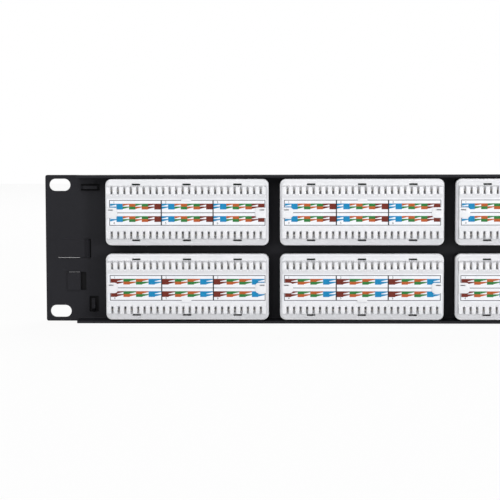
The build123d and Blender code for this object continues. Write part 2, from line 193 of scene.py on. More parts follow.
@dataclass(frozen=True)
class Finish:
    """One finish of the panel: its colour, how much that varies, its gloss and its relief.

    Scales are in cells a metre and relief is in millimetres.
    """

    slot: str
    colour: Colour
    shade: Colour
    roughness: float
    roughness_spread: float = 0.06
    metallic: float = 0.0
    specular: float = 0.5
    fine: float = 2500.0
    broad: float = 60.0
    relief: float = 0.01
    surface: Surface = Surface.EVEN

    def build(self, skin: bpy.types.NodeTree) -> bpy.types.Material:
        """Builds the material.

        Args:
            skin: The shared group that gives grain and cloud.

        Returns:
            The finished material.
        """
        material = bpy.data.materials.new(self.slot)
        material.use_nodes = True
        wires = Wires(material.node_tree)
        material.node_tree.nodes.clear()
        shader = wires.add("ShaderNodeBsdfPrincipled")
        output = wires.add("ShaderNodeOutputMaterial")
        wires.join(shader.outputs["BSDF"], output.inputs["Surface"])
        shader.inputs["Metallic"].default_value = self.metallic
        shader.inputs["Specular IOR Level"].default_value = self.specular

        spot = wires.add("ShaderNodeTexCoord").outputs["Object"]
        if self.surface is Surface.BRUSHED:
            stretch = wires.add("ShaderNodeMapping")
            stretch.inputs["Scale"].default_value = BRUSH_STRETCH
            wires.join(spot, stretch.inputs["Vector"])
            spot = stretch.outputs["Vector"]
        grain = wires.add("ShaderNodeGroup", node_tree=skin)
        grain.inputs["Fine"].default_value = self.fine
        grain.inputs["Broad"].default_value = self.broad
        wires.join(spot, grain.inputs["Vector"])

        mix = wires.add("ShaderNodeMix", data_type="RGBA")
        mix.inputs["A"].default_value = (*self.colour, 1.0)
        mix.inputs["B"].default_value = (*self.shade, 1.0)
        spread = wires.add("ShaderNodeMapRange")
        spread.inputs["From Min"].default_value = CLOUD_SPAN[0]
        spread.inputs["From Max"].default_value = CLOUD_SPAN[1]
        wires.join(grain.outputs["Cloud"], spread.inputs["Value"])
        wires.join(spread.outputs["Result"], mix.inputs["Factor"])
        wires.join(mix.outputs["Result"], shader.inputs["Base Color"])

        gloss = wires.add("ShaderNodeMapRange")
        gloss.inputs["To Min"].default_value = self.roughness - self.roughness_spread
        gloss.inputs["To Max"].default_value = self.roughness + self.roughness_spread
        wires.join(grain.outputs["Grain"], gloss.inputs["Value"])
        wires.join(gloss.outputs["Result"], shader.inputs["Roughness"])

        height = grain.outputs["Grain"]
        if self.surface is Surface.PEBBLED:
            cells = wires.add("ShaderNodeTexVoronoi", feature="SMOOTH_F1")
            cells.inputs["Scale"].default_value = self.fine * PEBBLE_SCALE
            wires.join(spot, cells.inputs["Vector"])
            height = cells.outputs["Distance"]
        bump = wires.add("ShaderNodeBump")
        bump.inputs["Strength"].default_value = BUMP_STRENGTH
        bump.inputs["Distance"].default_value = self.relief * MM
        wires.join(height, bump.inputs["Height"])
        wires.join(bump.outputs["Normal"], shader.inputs["Normal"])
        return material


def ink(slot: str, colour: Colour, shade: Colour) -> Finish:
    """Gives the finish of one printed ink.

    Args:
        slot: The record's material slot.
        colour: Its colour.
        shade: The colour that it drifts to.

    Returns:
        The finish.
    """
    return Finish(slot, colour, shade, roughness=0.55, specular=0.2, fine=5200, broad=1300, relief=0.004)


FINISHES = (
    Finish("black_steel", linear(36, 36, 40), linear(32, 32, 36), 0.52, specular=0.12, fine=1500, broad=18,
           relief=0.03, surface=Surface.PEBBLED),
    Finish("bezel_plastic", linear(18, 18, 20), linear(14, 14, 16), 0.55, specular=0.12, fine=3200, relief=0.02,
           surface=Surface.PEBBLED),
    Finish("white_plastic", linear(233, 233, 236), linear(228, 229, 232), 0.34, specular=0.45, fine=1800,
           relief=0.006),
    Finish("black_plastic", linear(34, 34, 36), linear(29, 29, 31), 0.5, specular=0.35, fine=2600,
           relief=0.015),
    Finish("circuit_board", linear(20, 70, 42), linear(14, 52, 34), 0.35, fine=900, broad=220, relief=0.02),
    Finish("contact_metal", linear(232, 229, 223), linear(206, 202, 195), 0.5, metallic=0.25, fine=4200,
           broad=700, relief=0.008, surface=Surface.BRUSHED),
    Finish("spring_metal", linear(226, 188, 104), linear(205, 160, 84), 0.28, metallic=1.0, fine=4200,
           broad=500, relief=0.006, surface=Surface.BRUSHED),
    Finish("label_paper", linear(238, 239, 243), linear(233, 235, 240), 0.62, specular=0.3, fine=5200,
           broad=150, relief=0.012),
    ink("blue_print", linear(14, 126, 176), linear(22, 134, 186)),
    ink("orange_print", linear(172, 84, 38), linear(184, 92, 46)),
    ink("green_print", linear(40, 114, 54), linear(50, 124, 62)),
    ink("brown_print", linear(104, 38, 26), linear(114, 44, 32)),
    ink("black_print", linear(24, 25, 30), linear(32, 33, 38)),
)


def build_palette() -> dict[str, bpy.types.Material]:
    """Builds every finish once.

    Returns:
        The materials by the record's slot name.
    """
    skin = moulded_skin_group()
    return {finish.slot: finish.build(skin) for finish in FINISHES}


def dress_frame(palette: dict[str, bpy.types.Material]) -> None:
    """Gives each carried-over solid the finish of its slot.

    Args:
        palette: The materials by slot name.
    """
    for part in frame["record"]["subparts"]:
        node = frame["nodes"][part["node"]]
        node.data.materials.clear()
        node.data.materials.append(palette[part["material_slot"]])
    LOG.info("dressed %d solids", len(frame["nodes"]))


@dataclass(frozen=True)
class Seat:
    """Where a module stands: its middle in millimetres, and whether it is turned half a turn."""

    number: int
    x: float
    z: float
    turned: bool

    @classmethod
    def of(cls, number: int) -> "Seat":
        """Reads a module's seat from its housing in the frame.

        Args:
            number: The module's number, from 1.

        Returns:
            The seat.
        """
        low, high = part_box(f"punchdown_housing_{number}")
        middle = (low + high) / 2
        return cls(number, middle.x / MM, middle.z / MM, middle.z < 0)

    def matrix(self) -> Matrix:
        """Works out the module's place.

        Returns:
            The change from the module's millimetres to the row's metres.
        """
        turn = Matrix.Rotation(math.pi if self.turned else 0.0, 4, "Y")
        return Matrix.Scale(MM, 4) @ Matrix.Translation((self.x, 0, self.z)) @ turn


def add_object(name: str, data: bpy.types.ID) -> bpy.types.Object:
    """Adds an object to the scene.

    Args:
        name: Its name.
        data: Its mesh, curve, light or camera.

    Returns:
        The new object.
    """
    piece = bpy.data.objects.new(name, data)
    bpy.context.scene.collection.objects.link(piece)
    return piece


class Mesher:
    """Collects the shapes of one piece in a bmesh, in millimetres."""

    def __init__(self) -> None:
        """Starts with an empty mesh."""
        self.bm = bmesh.new()

    def block(self, low: Point, high: Point) -> list[bmesh.types.BMVert]:
        """Adds a box.

        Args:
            low: Its lowest corner.
            high: Its highest corner.

        Returns:
            The box's vertices.
        """
        middle = [(a + b) / 2 for a, b in zip(low, high)]
        size = [b - a for a, b in zip(low, high)]
        matrix = Matrix.Translation(middle) @ Matrix.Diagonal((*size, 1))
        return bmesh.ops.create_cube(self.bm, size=1.0, matrix=matrix)["verts"]

    def edges_of(self, verts: Iterable[bmesh.types.BMVert]) -> list[bmesh.types.BMEdge]:
        """Finds the edges between some vertices.

        Args:
            verts: The vertices.

        Returns:
            Each edge with both ends among them.
        """
        chosen = set(verts)
        return [edge for edge in self.bm.edges if edge.verts[0] in chosen and edge.verts[1] in chosen]

    def bevel(self, edges: Sequence[bmesh.types.BMEdge], offset: float, segments: int) -> None:
        """Rounds some edges.

        Args:
            edges: The edges to round.
            offset: How far the round reaches, in millimetres.
            segments: How many facets it has.
        """
        bmesh.ops.bevel(
            self.bm,
            geom=list(edges),
            offset=offset,
            offset_type="OFFSET",
            segments=segments,
            profile=0.5,
            affect="EDGES",
            material=-1,
            clamp_overlap=True,
        )

    def soft_block(self, low: Point, high: Point, radius: float) -> None:
        """Adds a box with all its edges rounded.

        Args:
            low: Its lowest corner.
            high: Its highest corner.
            radius: The radius of its edges.
        """
        self.bevel(self.edges_of(self.block(low, high)), radius, SOFT_FACETS)

    def slab(self, length: float, height: float, y0: float, y1: float, corner: float, edge: float) -> None:
        """Adds a plate that stands on its edge, with round corners and a round rear rim.

        Args:
            length: Its size along X.
            height: Its size along Z.
            y0: Its front face.
            y1: Its rear face.
            corner: The radius of its four corners.
            edge: The radius of its rear rim.
        """
        before = set(self.bm.verts)
        verts = self.block((-length / 2, y0, -height / 2), (length / 2, y1, height / 2))
        corners = [e for e in self.edges_of(verts) if abs(e.verts[0].co.y - e.verts[1].co.y) > (y1 - y0) / 2]
        self.bevel(corners, corner, CORNER_FACETS)
        fresh = [vert for vert in self.bm.verts if vert not in before]
        rim = [
            e for e in self.edges_of(fresh)
            if all(abs(vert.co.y - y1) < SAME for vert in e.verts) and len(e.link_faces) == 2
        ]
        self.bevel(rim, edge, RIM_FACETS)

    def prism(self, outline: Sequence[tuple[float, float]], x0: float, x1: float) -> list[bmesh.types.BMVert]:
        """Adds a profile of Y and Z points that runs along X.

        Args:
            outline: The profile's points.
            x0: Where it starts.
            x1: Where it ends.

        Returns:
            All its vertices.
        """
        return self.loft([[(x, y, z) for y, z in outline] for x in (x0, x1)])

    def loft(self, sections: Sequence[Sequence[Point]]) -> list[bmesh.types.BMVert]:
        """Adds a closed body that runs through a row of sections with as many points each.

        Args:
            sections: The sections' points, in order.

        Returns:
            All its vertices.
        """
        rings = [[self.bm.verts.new(point) for point in section] for section in sections]
        for before, after in zip(rings, rings[1:]):
            for i in range(len(before)):
                self.bm.faces.new((before[i - 1], before[i], after[i], after[i - 1]))
        self.bm.faces.new(rings[0])
        self.bm.faces.new(rings[-1])
        return [vert for ring in rings for vert in ring]

    def take(self, mesh: bpy.types.Mesh) -> None:
        """Adds a mesh's shape and removes the mesh.

        Args:
            mesh: The mesh, in millimetres.
        """
        self.bm.from_mesh(mesh)
        bpy.data.meshes.remove(mesh)

    def object(self, name: str, material: bpy.types.Material, matrix: Matrix) -> bpy.types.Object:
        """Makes the object, with its place in its mesh.

        Args:
            name: The piece's name.
            material: Its finish.
            matrix: The change from millimetres in its own frame to metres in the row's.

        Returns:
            The new object.
        """
        mesh = bpy.data.meshes.new(name)
        bmesh.ops.recalc_face_normals(self.bm, faces=self.bm.faces)
        for face in self.bm.faces:
            face.smooth = True
        for edge in self.bm.edges:
            edge.smooth = len(edge.link_faces) == 2 and edge.calc_face_angle(0.0) < CREASE
        self.bm.to_mesh(mesh)
        self.bm.free()
        mesh.transform(matrix)
        mesh.materials.append(material)
        return add_object(name, mesh)


def place(piece: bpy.types.Object, nodes: Sequence[str] = ()) -> None:
    """Fixes a new piece to the panel.

    Args:
        piece: The new piece.
        nodes: The solids of the frame that it stands for.
    """
    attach(piece, BODY)
    if nodes:
        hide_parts(*nodes)
    LOG.info("placed %s", piece.name)


def discard(piece: bpy.types.Object) -> None:
    """Removes a scratch object with its mesh.

    Args:
        piece: The object.
    """
    mesh = piece.data
    bpy.data.objects.remove(piece)
    bpy.data.meshes.remove(mesh)


def carve(pieces: Iterable[bpy.types.Object], knife: bpy.types.Object) -> bpy.types.Mesh:
    """Cuts one shape out of several pieces and joins what is left. The pieces and the knife are used up.

    Args:
        pieces: The pieces to cut.
        knife: The shape to cut out.

    Returns:
        The joined mesh.
    """
    joined = bmesh.new()
    for piece in pieces:
        cut = piece.modifiers.new("cut", "BOOLEAN")
        cut.operation = "DIFFERENCE"
        cut.solver = "EXACT"
        cut.object = knife
        result = bpy.data.meshes.new_from_object(piece.evaluated_get(bpy.context.evaluated_depsgraph_get()))
        joined.from_mesh(result)
        bpy.data.meshes.remove(result)
        discard(piece)
    discard(knife)
    mesh = bpy.data.meshes.new("carved")
    joined.to_mesh(mesh)
    joined.free()
    return mesh


@dataclass
class PunchdownHousing:
    """A white housing with its two rows of teeth, in millimetres about the module's middle."""

    palette: dict[str, bpy.types.Material]
    length: float = 96.7
    height: float = 39.25
    depth: float = 14.3
    wall: float = 2.6
    roof: float = 2.0
    corner: float = 3.5
    rim: float = 1.0
    pad_inset: float = 1.4
    pad_step: float = 0.7
    pad_corner: float = 2.1
    row_offset: float = 13.03
    ridge: float = 4.2
    lean: float = 0.7
    bed_rise: float = 0.1
    foot: float = 16.6
    top: float = 21.9
    plateau: float = 20.0
    plateau_height: float = 16.6
    slot_pitch: float = 3.81
    slot_width: float = 1.0
    slot_depth: float = 5.4
    slots: int = 24
    tooth_ridge: float = 2.2
    chamfer: float = 0.6
    softness: float = 0.12
    dash_length: float = 5.0
    dash_height: float = 0.9
    dash_opening: float = 1.05
    dash_spacing: float = 30.0
    knife_span: tuple[float, float] = (2.0, 30.0)
    pad_rim: float = 0.25
    skirt: float = 4.3
    leg: float = 1.2
    leg_length: float = 2.4
    board_face: float = 9.0
    board_back: float = 10.6
    seat: float = 3.0
    label_top: float = 20.25
    tab_gap: float = 0.1
    tab_length: float = 6.1
    tab_height: float = 6.2
    tab_corner: float = 2.0
    tab_thickness: float = 0.5
    tab_post: float = 0.3
    tab_round: float = 0.15
    post_root: float = 1.0
    post_rise: float = 0.2
    tab_slot: tuple[float, float] = (2.9, 0.6)
    tab_slot_place: tuple[float, float] = (44.55, 1.65)
    tab_slot_floor: float = 17.0
    side_tab_length: float = 5.8
    side_tab_cover: float = 1.1
    label_height: float = 15.9
    arc_steps: int = 6
    tab_arc_steps: int = 7

    @property
    def dashes(self) -> tuple[float, float, float]:
        """The middles of the core-outs above the latches."""
        return -self.dash_spacing, 0.0, self.dash_spacing

    @property
    def inner_z(self) -> float:
        """Where the wire slots end, on the label's side."""
        return self.row_offset - self.ridge / 2

    @property
    def outer_z(self) -> float:
        """Where the teeth's ridges end, on the outer side."""
        return self.row_offset + self.ridge / 2

    @property
    def pad_top(self) -> float:
        """The height of the pad that the towers stand on."""
        return self.depth + self.pad_step

    @property
    def pad_half(self) -> float:
        """Half the pad's length."""
        return self.length / 2 - self.pad_inset

    @property
    def pad_z(self) -> float:
        """Half the pad's height."""
        return self.height / 2 - self.pad_inset

    @property
    def dash_z(self) -> float:
        """The outer edge of the core-outs above the latches."""
        return self.height / 2 - self.wall

    @property
    def skirt_bottom(self) -> float:
        """Where the housing's walls end, on the steel's side."""
        return self.depth - self.skirt

    @property
    def floor(self) -> float:
        """The floor of the wire slots."""
        return self.top - self.slot_depth

    @property
    def bed(self) -> float:
        """Where the body of the slots' floor starts, inside the pad."""
        return self.depth + self.bed_rise

    @property
    def run(self) -> float:
        """How far the sloped foot reaches out for each millimetre that it drops."""
        return (self.pad_z - self.outer_z - self.lean) / (self.foot - self.pad_top)

    @property
    def edge_z(self) -> float:
        """Where the sloped foot is as high as the slots' floor."""
        return self.pad_z - (self.floor - self.pad_top) * self.run

    @property
    def throat(self) -> float:
        """Where the slots' funnels end."""
        return self.top - self.chamfer

    @property
    def tab_under(self) -> float:
        """The underside of the hooks over the label."""
        return self.label_top + self.tab_gap

    @property
    def tab_top(self) -> float:
        """The rear face of the hooks over the label."""
        return self.tab_under + self.tab_thickness

    def scratch(self, work: Mesher, name: str) -> bpy.types.Object:
        """Makes a white object that stays in the module's millimetres.

        Args:
            work: Its mesh.
            name: Its name.

        Returns:
            The object.
        """
        return work.object(name, self.palette["white_plastic"], Matrix.Identity(4))

    def build_shell(self) -> bpy.types.Mesh:
        """Builds the open cap and its pad, with the core-outs above the latches cut through both.

        Returns:
            The mesh, in millimetres.
        """
        shell = Mesher()
        shell.slab(self.length, self.height, self.skirt_bottom, self.depth, self.corner, self.rim)
        front = [
            face for face in shell.bm.faces
            if all(abs(vert.co.y - self.skirt_bottom) < SAME for vert in face.verts)
        ]
        bmesh.ops.inset_region(shell.bm, faces=front, thickness=self.wall)
        inner = [face for face in front if face.is_valid]
        grown = bmesh.ops.extrude_face_region(shell.bm, geom=inner)
        deep = [item for item in grown["geom"] if isinstance(item, bmesh.types.BMVert)]
        bmesh.ops.translate(shell.bm, vec=(0, self.skirt - self.roof, 0), verts=deep)
        bmesh.ops.delete(shell.bm, geom=inner, context="FACES")
        body = self.scratch(shell, "shell_body")

        pad = Mesher()
        length, height = 2 * (self.pad_half - HAIR), 2 * (self.pad_z - HAIR)
        pad.slab(length, height, self.depth - SINK, self.pad_top, self.pad_corner, self.pad_rim)
        rise = self.scratch(pad, "shell_pad")

        cutter = Mesher()
        bottom, top = self.knife_span
        for side in (1, -1):
            low, high = sorted((side * self.dash_z, side * (self.dash_z - self.dash_opening)))
            for x in self.dashes:
                cutter.block((x - self.dash_length / 2, bottom, low), (x + self.dash_length / 2, top, high))
        return carve((body, rise), self.scratch(cutter, "shell_knife"))

    def build_cap(self, turned: bool) -> bpy.types.Mesh:
        """Builds the shelf under the label and the hooks at its ends, with their slots cut through.

        Args:
            turned: Whether the module is turned half a turn, which puts the slots on its other side.

        Returns:
            The mesh, in millimetres.
        """
        half = self.plateau_height / 2
        shelf = Mesher()
        shelf.block((-self.pad_half, self.depth, -half), (self.pad_half, self.plateau, half))
        pieces = [self.scratch(shelf, "cap_shelf")]
        cutter = Mesher()
        length, height = self.tab_slot
        x, z = self.tab_slot_place
        z = -z if turned else z
        for side in (1, -1):
            hook = Mesher()
            self.end_tab(hook, side)
            pieces.append(self.scratch(hook, "cap_hook"))
            cutter.block(
                (side * x - length / 2, self.tab_slot_floor, z - height / 2),
                (side * x + length / 2, self.top, z + height / 2),
            )
        return carve(pieces, self.scratch(cutter, "cap_knife"))

    def tooth(self, work: Mesher, x: float, left: float, right: float, chamfers: tuple[bool, bool]) -> None:
        """Adds one tooth of the upper row, with its part of the sloped foot.

        Args:
            work: The mesh to add to.
            x: The tooth's middle.
            left: How far it reaches to lower X.
            right: How far it reaches to higher X.
            chamfers: Whether its lower-X and higher-X flanks slope at the top.
        """
        base = self.floor - SINK
        drop = (self.top - self.throat) / (self.top - self.foot) * self.lean
        outline = [
            (base, self.inner_z - OVERLAP),
            (self.throat, self.inner_z - OVERLAP),
            (self.top, self.inner_z - OVERLAP),
            (self.top, self.outer_z),
            (self.throat, self.outer_z + drop),
            (self.foot, self.outer_z + self.lean),
            (self.floor, self.edge_z),
            (base, self.edge_z),
        ]
        verts = work.prism(outline, x - left, x + right)
        half_ridge = self.tooth_ridge / 2
        for vert in verts:
            if abs(vert.co.y - self.top) < SAME:
                if vert.co.x < x and chamfers[0]:
                    vert.co.x = x - half_ridge
                if vert.co.x > x and chamfers[1]:
                    vert.co.x = x + half_ridge
        soft = [
            edge for edge in work.edges_of(verts)
            if max(vert.co.y for vert in edge.verts) > self.foot + SAME
            and min(vert.co.y for vert in edge.verts) > self.foot - SAME
            and min(vert.co.z for vert in edge.verts) > self.inner_z
            or all(abs(vert.co.y - self.top) < SAME for vert in edge.verts)
        ]
        work.bevel(soft, self.softness, 1)

    def inner_wall(self, work: Mesher) -> None:
        """Adds the wall between the upper row's slots and the label, notched in line with each slot.

        Args:
            work: The mesh to add to.
        """
        slope = (self.inner_z - self.plateau_height / 2) / (self.top - self.plateau)
        label_side = [
            (self.depth, self.plateau_height / 2),
            (self.plateau, self.plateau_height / 2),
            (self.throat, self.plateau_height / 2 + (self.throat - self.plateau) * slope),
        ]
        last = (self.slots - 1) / 2 * self.slot_pitch
        funnel = self.slot_pitch / 2 - self.tooth_ridge / 2
        steps = [(-self.pad_half, 0.0)]
        for i in range(self.slots):
            x = i * self.slot_pitch - last
            steps += [(x - funnel, 0.0), (x - self.slot_width / 2, self.chamfer)]
            steps += [(x + self.slot_width / 2, self.chamfer), (x + funnel, 0.0)]
        steps.append((self.pad_half, 0.0))
        sections = []
        for x, dip in steps:
            outline = [*label_side, (self.top - dip, self.inner_z), (self.depth, self.inner_z)]
            sections.append([(x, y, z) for y, z in outline])
        work.loft(sections)

    def foot_section(self, x: float, outer: float) -> list[Point]:
        """One section of the slots' floor and the sloped foot.

        Args:
            x: Where the section stands.
            outer: How far it reaches from the label.

        Returns:
            The section's points.
        """
        return [
            (x, self.bed, self.inner_z),
            (x, self.floor, self.inner_z),
            (x, self.floor, self.edge_z),
            (x, self.pad_top + (self.pad_z - outer) / self.run, outer),
            (x, self.bed, outer),
        ]

    def apron(self, work: Mesher) -> None:
        """Adds the low floor of the upper row's slots and its sloped foot, open at the core-outs.

        Args:
            work: The mesh to add to.
        """
        near = self.dash_z - self.dash_opening
        dash_y = self.pad_top + (self.pad_z - self.dash_z) / self.run
        beyond = [
            (self.bed, self.dash_z),
            (dash_y, self.dash_z),
            (self.pad_top, self.pad_z),
            (self.bed, self.pad_z),
        ]
        straight = self.pad_half - self.pad_corner
        arc = []
        for step in range(self.arc_steps + 1):
            turn = math.pi / (2 * self.arc_steps) * step
            x = straight + self.pad_corner * math.sin(turn)
            arc.append((x, self.pad_z - self.pad_corner * (1 - math.cos(turn))))
        for side in (1, -1):
            work.loft([self.foot_section(side * x, outer) for x, outer in arc])
        start = -straight
        for dash in self.dashes:
            left, right = dash - self.dash_length / 2, dash + self.dash_length / 2
            work.loft([self.foot_section(x, self.pad_z) for x in (start, left)])
            work.loft([self.foot_section(x, near) for x in (left, right)])
            work.prism(beyond, left, right)
            start = right
        work.loft([self.foot_section(x, self.pad_z) for x in (start, straight)])

    def inside(self, work: Mesher) -> None:
        """Adds the latch legs and corner seats of one long side, which hold the circuit board.

        Args:
            work: The mesh to add to.
        """
        foot = self.skirt_bottom - self.leg_length
        outline = [
            (self.skirt_bottom, self.dash_z + self.leg),
            (self.skirt_bottom, self.dash_z),
            (self.board_face, self.dash_z),
            (self.board_face, self.dash_z - self.dash_height),
            (foot, self.dash_z),
            (foot, self.dash_z + self.leg),
        ]
        for x in self.dashes:
            work.prism(outline, x - self.dash_length / 2, x + self.dash_length / 2)
        corner_x = self.length / 2 - self.wall
        for end in (1, -1):
            low, high = sorted((end * corner_x, end * (corner_x - self.seat)))
            ceiling = self.depth - self.roof
            work.block((low, self.board_back, self.dash_z - self.seat), (high, ceiling, self.dash_z))

    def row(self, work: Mesher) -> None:
        """Adds the upper row: its floor, its wall and its teeth.

        Args:
            work: The mesh to add to.
        """
        self.apron(work)
        self.inner_wall(work)
        half = (self.slot_pitch - self.slot_width) / 2
        last = self.slots / 2 * self.slot_pitch
        for i in range(self.slots + 1):
            x = i * self.slot_pitch - last
            ends = self.pad_half - last
            if i == 0:
                self.tooth(work, x, ends, half, (False, True))
            elif i == self.slots:
                self.tooth(work, x, half, ends, (True, False))
            else:
                self.tooth(work, x, half, half, (True, True))

    def end_tab(self, work: Mesher, side: int) -> None:
        """Adds the hook over one end of the label, with two round corners.

        Args:
            work: The mesh to add to.
            side: 1 for the end at higher X and -1 for the other.
        """
        half = self.tab_height / 2
        centre_x = self.pad_half - self.tab_post - self.tab_length + self.tab_corner
        centre_z = half - self.tab_corner
        outline = [(self.pad_half, -half)]
        for step in range(2 * self.tab_arc_steps + 1):
            turn = math.pi / (2 * self.tab_arc_steps) * step
            way = -1 if step <= self.tab_arc_steps else 1
            reach_x, reach_z = self.tab_corner * math.sin(turn), self.tab_corner * math.cos(turn)
            outline.append((centre_x - reach_x, way * centre_z - reach_z))
            if step == self.tab_arc_steps:
                outline.append((centre_x - reach_x, centre_z - reach_z))
        outline.append((self.pad_half, half))
        verts = work.loft([[(side * x, y, z) for x, z in outline] for y in (self.tab_under, self.tab_top)])
        lowest = self.tab_top - SAME
        rim = [edge for edge in work.edges_of(verts) if all(vert.co.y > lowest for vert in edge.verts)]
        work.bevel(rim, self.tab_round, SOFT_FACETS)

    def posts(self, work: Mesher) -> None:
        """Adds the posts of the end hooks and the hook over the label's long side.

        Args:
            work: The mesh to add to.
        """
        root, tip = self.plateau - self.post_root, self.tab_under + self.post_rise
        half = self.tab_height / 2 - HAIR
        for side in (1, -1):
            low, high = sorted((side * (self.pad_half - self.tab_post), side * (self.pad_half - HAIR)))
            work.block((low, root, -half), (high, tip, half))
        near = self.label_height / 2 + self.tab_gap / 2
        far = near + self.tab_post
        reach = self.side_tab_length / 2
        inner = near - self.side_tab_cover
        work.soft_block((-reach, self.tab_under, inner), (reach, self.tab_top, far), self.tab_round)
        work.block((HAIR - reach, root, near), (reach - HAIR, tip, far - HAIR))

    def build(self) -> None:
        """Builds the two forms of the housing and places a copy of the right one at each module."""
        work = Mesher()
        self.row(work)
        self.inside(work)
        twin = bmesh.ops.duplicate(work.bm, geom=work.bm.verts[:] + work.bm.edges[:] + work.bm.faces[:])
        copies = [item for item in twin["geom"] if isinstance(item, bmesh.types.BMVert)]
        bmesh.ops.rotate(work.bm, cent=(0, 0, 0), matrix=Matrix.Rotation(math.pi, 3, "Y"), verts=copies)
        self.posts(work)
        work.take(self.build_shell())
        common = self.scratch(work, "housing_common")
        for turned in (False, True):
            form = Mesher()
            form.bm.from_mesh(common.data)
            form.take(self.build_cap(turned))
            pattern = self.scratch(form, "housing_pattern")
            for seat in (Seat.of(number) for number in MODULE_NUMBERS):
                if seat.turned is turned:
                    mesh = pattern.data.copy()
                    mesh.transform(seat.matrix())
                    piece = add_object(f"white_housing_{seat.number}", mesh)
                    place(piece, [f"punchdown_housing_{seat.number}"])
            discard(pattern)
        discard(common)


@dataclass
class Numerals:
    """Plain printed numbers, joined in one thin mesh."""

    name: str
    material: bpy.types.Material
    thickness: float = 0.03
    size_of_height: float = 1.4
    curve_steps: int = 3
    weld: float = 1e-7
    joined: bmesh.types.BMesh = field(default_factory=bmesh.new)

    def add(self, text: str, height: float, middle: Point, from_rear: bool) -> None:
        """Adds one number.

        Args:
            text: The digits.
            height: Their height in millimetres.
            middle: The middle of the number, on the surface that carries it, in millimetres.
            from_rear: Whether it is read from the rear.
        """
        curve = bpy.data.curves.new("digits", "FONT")
        curve.body = text
        curve.align_x = "CENTER"
        curve.align_y = "CENTER"
        curve.size = height * self.size_of_height
        curve.extrude = self.thickness / 2
        curve.resolution_u = self.curve_steps
        holder = add_object("digits", curve)
        mesh = bpy.data.meshes.new_from_object(holder.evaluated_get(bpy.context.evaluated_depsgraph_get()))
        turn = Matrix.Rotation(math.pi / 2, 4, "X")
        if from_rear:
            turn = Matrix.Rotation(math.pi, 4, "Z") @ turn
        mesh.transform(Matrix.Scale(MM, 4) @ Matrix.Translation(middle) @ turn)
        self.joined.from_mesh(mesh)
        bpy.data.objects.remove(holder)
        bpy.data.curves.remove(curve)
        bpy.data.meshes.remove(mesh)

    def build(self, slot: str) -> None:
        """Makes the piece and places it.

        Args:
            slot: The record's material slot. Not used.
        """
        bmesh.ops.remove_doubles(self.joined, verts=self.joined.verts, dist=self.weld)
        bmesh.ops.recalc_face_normals(self.joined, faces=self.joined.faces)
        mesh = bpy.data.meshes.new(self.name)
        self.joined.to_mesh(mesh)
        self.joined.free()
        mesh.materials.append(self.material)
        place(add_object(self.name, mesh))


@dataclass
class FrontPrint:
    """The port numbers and ruled lines on the front label strips."""

    palette: dict[str, bpy.types.Material]
    ports: int = 6
    port_pitch: float = 15.24
    digit_height: float = 3.0
    rule_width: float = 0.25
    rule_depth: float = 0.04
    rule_reach: float = 0.38
    strip_height: float = 8.0

    def build(self) -> None:
        """Prints the numbers 1 to 48 and the rules between them."""
        low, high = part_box("port_label_strips")
        face_y = low.y / MM
        upper_z = high.z / MM - self.strip_height / 2
        lower_z = low.z / MM + self.strip_height / 2
        reach = self.strip_height * self.rule_reach
        numerals = Numerals("port_numbers", self.palette["black_print"])
        rules = Mesher()
        for number in MODULE_NUMBERS:
            seat = Seat.of(number)
            z = lower_z if seat.turned else upper_z
            for port in range(self.ports):
                x = seat.x + (port - (self.ports - 1) / 2) * self.port_pitch
                label = str((number - 1) * self.ports + port + 1)
                numerals.add(label, self.digit_height, (x, face_y, z), False)
                if port:
                    edge = x - self.port_pitch / 2
                    rules.block(
                        (edge - self.rule_width / 2, face_y - self.rule_depth, z - reach),
                        (edge + self.rule_width / 2, face_y, z + reach),
                    )
        numerals.build("black_print")
        place(rules.object("strip_rules", self.palette["black_print"], Matrix.Scale(MM, 4)))


@dataclass
class LabelPrint:
    """The small print that the wiring labels carry besides their colours."""

    palette: dict[str, bpy.types.Material]
    groups: int = 3
    group_pitch: float = 30.48
    digit_height: float = 1.3
    band: float = 3.67
    digit_line: float = 2.45
    digit_inset: float = 2.6
    outer_modules: tuple[int, int] = (4, 8)
    outer_shift: float = -0.6

    def build(self) -> None:
        """Prints a plain number beside each group of fields."""
        numerals = Numerals("group_numbers", self.palette["black_print"])
        for number in MODULE_NUMBERS:
            seat = Seat.of(number)
            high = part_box(f"wiring_label_{number}")[1]
            face_y = high.y / MM
            middle = seat.x + (self.outer_shift if number in self.outer_modules else 0.0)
            for row, sign in enumerate((1, -1)):
                for group in range(self.groups):
                    left = middle + (self.groups / 2 - group) * self.group_pitch - self.digit_inset
                    z = seat.z + sign * (self.band + self.digit_line)
                    text = str(row * self.groups + group + 1)
                    numerals.add(text, self.digit_height, (left, face_y, z), True)
        numerals.build("black_print")


@dataclass(frozen=True)
class Lamp:
    """One soft square lamp: its place and aim in metres, its side in metres and its power in watts."""

    name: str
    at: Point
    towards: Point
    size: float
    power: float

    def build(self) -> None:
        """Adds the lamp."""
        data = bpy.data.lights.new(self.name, "AREA")
        data.size = self.size
        data.energy = self.power
        lamp = add_object(self.name, data)
        aim = (Vector(self.towards) - Vector(self.at)).to_track_quat("-Z", "Y")
        lamp.matrix_world = Matrix.Translation(self.at) @ aim.to_matrix().to_4x4()


LAMPS = (
    Lamp("key", (0.5, 1.7, 1.0), (0.05, 0, 0), 1.3, 12.5),
    Lamp("fill", (-0.9, 1.5, 0.12), (0, 0, 0), 0.3, 9.5),
    Lamp("front", (-0.3, -1.6, 1.4), (0, 0, 0), 1.2, 16),
)


